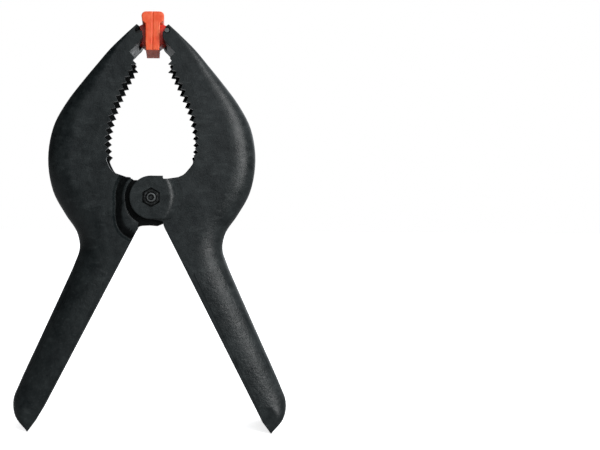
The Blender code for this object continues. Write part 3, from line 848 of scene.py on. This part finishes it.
def new_material(name, metallic=0.0):
    material = bpy.data.materials.new(name)
    material.use_nodes = True
    tree = material.node_tree
    shader = tree.nodes["Principled BSDF"]
    shader.inputs["Metallic"].default_value = metallic
    return tree, shader, material


def dress(tree, shader, colour, roughness, normal):
    """Join the finished colour, roughness and normal to the shader."""
    for key, value in (("Base Color", colour), ("Roughness", roughness), ("Normal", normal)):
        tree.links.new(value, shader.inputs[key])


def grip_area(tree):
    """1 in the stippled field down the middle of each handle, 0 outside it."""
    place = add(tree, "TexCoord")
    xyz = add(tree, "SeparateXYZ", None, {"Vector": place.outputs["Object"]})
    x = calc(tree, "ABSOLUTE", xyz.outputs["X"])
    z = calc(tree, "SUBTRACT", xyz.outputs["Z"], PIVOT.z)
    across = calc(tree, "ADD", calc(tree, "MULTIPLY", x, GRIP_COS), calc(tree, "MULTIPLY", z, GRIP_SIN))
    along = calc(tree, "SUBTRACT", calc(tree, "MULTIPLY", x, GRIP_SIN), calc(tree, "MULTIPLY", z, GRIP_COS))
    off_middle = calc(tree, "ABSOLUTE", calc(tree, "SUBTRACT", across, GRIP_MIDDLE))
    inside = between(tree, off_middle, 1.0, 0.0, *GRIP_HALF_WIDTH)
    upper = between(tree, along, 0.0, 1.0, *GRIP_START)
    lower = between(tree, along, 1.0, 0.0, *GRIP_END)
    return calc(tree, "MULTIPLY", inside, calc(tree, "MULTIPLY", upper, lower))


def nylon_material():
    """Black moulded nylon: fine grain, flow mottling, smeared scuffs, and a stipple on the handles."""
    tree, shader, material = new_material("black_nylon")
    shader.inputs["Specular IOR Level"].default_value = 0.3
    grip = grip_area(tree)
    mottle = noise(tree, 75.0, 4.0, roughness=0.6)
    patches = noise(tree, 230.0, 5.0, roughness=0.65)
    scuffs = noise(tree, 110.0, 6.0, (1.0, 1.0, 2.6), 0.7)
    wear = between(tree, scuffs, 0.0, 1.0, 0.52, 0.66, True)
    tone = calc(tree, "ADD", calc(tree, "MULTIPLY", mottle, 0.6), calc(tree, "MULTIPLY", patches, 0.4))
    tone = between(tree, tone, 0.0, 1.0, 0.38, 0.62)
    tone = calc(tree, "ADD", calc(tree, "MULTIPLY", tone, 0.6), calc(tree, "MULTIPLY", wear, 0.4))
    specks = between(tree, noise(tree, 950.0, 3.0, roughness=0.7), 0.0, 0.8, 0.58, 0.70)
    tone = calc(tree, "ADD", tone, calc(tree, "MULTIPLY", specks, grip))
    colour = tint(tree, tone, (0.0035, 0.0058, 0.0065), (0.0245, 0.0300, 0.0305))
    rough = calc(tree, "ADD", between(tree, patches, 0.24, 0.44), calc(tree, "MULTIPLY", wear, 0.05))
    rough = calc(tree, "ADD", rough, calc(tree, "MULTIPLY", grip, 0.03))
    normal = bump(tree, noise(tree, 1500.0, 2.0), 0.5, 0.00008)
    normal = bump(tree, patches, 0.5, 0.0005, normal)
    stipple = calc(tree, "MULTIPLY", noise(tree, 620.0, 3.0, roughness=0.6), grip)
    normal = bump(tree, stipple, 0.6, 0.00045, normal)
    dress(tree, shader, colour, rough, normal)
    return material


def painted_shade_nylon_material():
    """The nylon inside the channels and in the hub's groove, made darker as painted shade."""
    tree, shader, material = new_material("painted_shade_nylon")
    shader.inputs["Specular IOR Level"].default_value = 0.12
    film = noise(tree, 500.0, 4.0)
    colour = tint(tree, between(tree, film, 0.0, 1.0), (0.0010, 0.0014, 0.0015), (0.0050, 0.0062, 0.0064))
    normal = bump(tree, film, 0.3, 0.0001)
    dress(tree, shader, colour, between(tree, film, 0.5, 0.7), normal)
    return material


def orange_material():
    """Soft orange plastic: warm and paler in patches, redder between them, with a faint matt grain."""
    tree, shader, material = new_material("orange_pad")
    mottle = noise(tree, 230.0, 4.0, roughness=0.6)
    paler = between(tree, mottle, 0.0, 1.0, 0.35, 0.65)
    colour = tint(tree, paler, (0.90, 0.085, 0.018), (1.0, 0.165, 0.060))
    rough = between(tree, noise(tree, 320.0, 4.0), 0.36, 0.50)
    normal = bump(tree, noise(tree, 1100.0, 2.0), 0.3, 0.00006)
    dress(tree, shader, colour, rough, normal)
    shader.inputs["Subsurface Weight"].default_value = 0.25
    shader.inputs["Subsurface Radius"].default_value = (0.002, 0.0006, 0.0003)
    return material


def painted_shade_orange_material():
    """The pads' lugs, of the same plastic but glossier, and darker and redder as painted shade from the
    fork round them.
    """
    tree, shader, material = new_material("painted_shade_orange")
    mottle = noise(tree, 260.0, 4.0)
    colour = tint(tree, between(tree, mottle, 0.0, 1.0), (0.62, 0.024, 0.012), (0.88, 0.050, 0.022))
    rough = between(tree, noise(tree, 320.0, 4.0), 0.30, 0.42)
    dress(tree, shader, colour, rough, bump(tree, mottle, 0.2, 0.0001))
    return material


def from_pivot(tree):
    """Distance from the pivot axis, in metres."""
    place = add(tree, "TexCoord")
    xyz = add(tree, "SeparateXYZ", None, {"Vector": place.outputs["Object"]})
    z = calc(tree, "SUBTRACT", xyz.outputs["Z"], PIVOT.z)
    squares = calc(tree, "ADD", calc(tree, "POWER", xyz.outputs["X"], 2.0), calc(tree, "POWER", z, 2.0))
    return calc(tree, "SQRT", squares)


def dark_steel_material():
    """Blackened steel of the bolt and nut, worn bright in patches, with a painted highlight ring on the rim
    of the bolt end.
    """
    tree, shader, material = new_material("dark_steel", metallic=0.8)
    radius = from_pivot(tree)
    # painted highlight: a bright ring round the rim of the bolt end
    rim = calc(tree, "MULTIPLY", between(tree, radius, 0.0, 1.0, 0.0016, 0.0020),
               between(tree, radius, 1.0, 0.0, 0.0024, 0.0026))
    worn = between(tree, noise(tree, 900.0, 5.0, roughness=0.7), 0.0, 0.35, 0.45, 0.75, True)
    # the worn patches, and the painted highlight ring on the rim
    bright = calc(tree, "MAXIMUM", worn, calc(tree, "MULTIPLY", rim, between(tree, worn, 1.0, 0.8)))
    colour = tint(tree, bright, (0.012, 0.013, 0.013), (0.20, 0.21, 0.21))
    rough = between(tree, noise(tree, 1400.0, 3.0), 0.32, 0.52)
    normal = bump(tree, noise(tree, 2600.0, 3.0), 0.4, 0.00005)
    dress(tree, shader, colour, rough, normal)
    return material


def drawn_steel_material(name, dark, bright, stretch):
    """Drawn wire: long thin streaks along the wire, with slight dulling in patches."""
    tree, shader, material = new_material(name, metallic=1.0)
    streaks = noise(tree, 2400.0, 3.0, stretch)
    patches = noise(tree, 240.0, 4.0)
    blend = calc(tree, "ADD", calc(tree, "MULTIPLY", streaks, 0.5), calc(tree, "MULTIPLY", patches, 0.5))
    colour = tint(tree, between(tree, blend, 0.0, 1.0, 0.35, 0.65), dark, bright)
    rough = between(tree, patches, 0.24, 0.40)
    normal = bump(tree, streaks, 0.3, 0.00004)
    dress(tree, shader, colour, rough, normal)
    return material


# ---------------------------------------------------------------- the scene

def put(piece, material, slot, *nodes):
    """Give a piece its material, and hide the CAD node it stands for. slot is not used."""
    piece.data.materials.clear()
    piece.data.materials.append(material)
    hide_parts(*nodes)


def is_channel_wall(off, normal):
    """Whether a face off the pivot is on the inside of a channel's side wall, or on a plate."""
    deep = abs(off.y) < BODY_HALF - WALL + TOLERANCE
    across = abs(normal.y) > PAINTED_SHADE_WALL_NORMAL
    return deep and across and math.hypot(off.x, off.z) < PAINTED_SHADE_RADIUS


def is_groove_slope(off, normal):
    """Whether a face off the pivot is on the slope that leads down into the left arm's groove."""
    low, high = PAINTED_SHADE_SLOPE_DEPTHS
    near, far = PAINTED_SHADE_SLOPE_RADII
    in_place = low < abs(off.y) < high and near < math.hypot(off.x, off.z) < far
    facing_in = off.x * normal.x + off.z * normal.z > 0
    return in_place and facing_in and abs(normal.y) > PAINTED_SHADE_SLOPE_NORMAL


def paint_channel_shade(arm, material):
    """Painted shade, a darker nylon, inside an arm's channel and, on the left arm, on the slope into the
    groove.
    """
    arm.data.materials.append(material)
    for face in arm.data.polygons:
        off = (face.center - PIVOT) / MM
        on_slope = "left" in arm.name and is_groove_slope(off, face.normal)
        if on_slope or is_channel_wall(off, face.normal):
            face.material_index = 1


def paint_lug_shade(pad, material):
    """The painted shade, a deeper orange, on a pad's lug, which is all of it behind the pad's back."""
    pad.data.materials.append(material)
    for face in pad.data.polygons:
        off = (face.center - PIVOT) / MM
        behind = abs(off.x) > PAD_BACK + TOLERANCE
        if behind and abs(off.y) < LUG_HALF + TOLERANCE and off.z < PIN[1] + LUG_ABOVE_PIN:
            face.material_index = 1


bpy.context.scene.view_settings.view_transform = "Standard"
make_camera()
make_world()
make_floor()
for settings in SOFTBOXES:
    softbox(*settings)

nylon = nylon_material()
# darker nylon: painted shade inside the channels and in the hub's groove
painted_shade_nylon = painted_shade_nylon_material()
# darker, redder orange: painted shade on the pads' lugs inside the fork
painted_shade_orange = painted_shade_orange_material()
orange = orange_material()
dark_steel = dark_steel_material()
along_pin = (1, 0.08, 1)
along_spring = (1, 0.6, 1)
pin_steel = drawn_steel_material("pin_steel", (0.10, 0.11, 0.11), (0.20, 0.21, 0.21), along_pin)
# a darker copy of the pin steel: painted shade on the left pin
painted_shade_pin_steel = drawn_steel_material("painted_shade_pin_steel", (0.02, 0.02, 0.02), (0.06, 0.06, 0.06), along_pin)
spring_steel = drawn_steel_material("spring_steel", (0.26, 0.26, 0.26), (0.48, 0.48, 0.47), along_spring)

finishes = {"black_nylon": nylon, "orange_pad": orange, "dark_steel": dark_steel,
            "pin_steel": pin_steel, "spring_steel": spring_steel}
for subpart in frame["record"]["subparts"]:
    for material_slot in frame["nodes"][subpart["node"]].material_slots:
        material_slot.material = finishes[subpart["material_slot"]]

for piece, body in ((make_left_arm(), "left_arm"), (make_right_arm(), "right_arm")):
    put(piece, nylon, "black_nylon", body)
    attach(piece, body)
    # painted shade inside the channel and, on the left arm, in the groove
    paint_channel_shade(piece, painted_shade_nylon)
for label, mirror in (("left", -1), ("right", 1)):
    pad = make_pad(label + "_pad_shell", mirror)
    put(pad, orange, "orange_pad", label + "_pad")
    # painted shade on the lug
    paint_lug_shade(pad, painted_shade_orange)
    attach(pad, label + "_pad")
    pin = make_pin(label + "_steel_pin", mirror, PIN_FRONT[label])
    # the left pin takes the darker copy of the pin steel as painted shade
    put(pin, pin_steel if label == "right" else painted_shade_pin_steel, "pin_steel", label + "_pad_pin")
    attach(pin, label + "_arm")
for piece, node in ((make_nut(), "pivot_nut"), (make_bolt(), "pivot_bolt")):
    put(piece, dark_steel, "dark_steel", node)
    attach(piece, "right_arm")
spring = make_spring()
put(spring, spring_steel, "spring_steel", "torsion_spring")
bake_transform(spring)
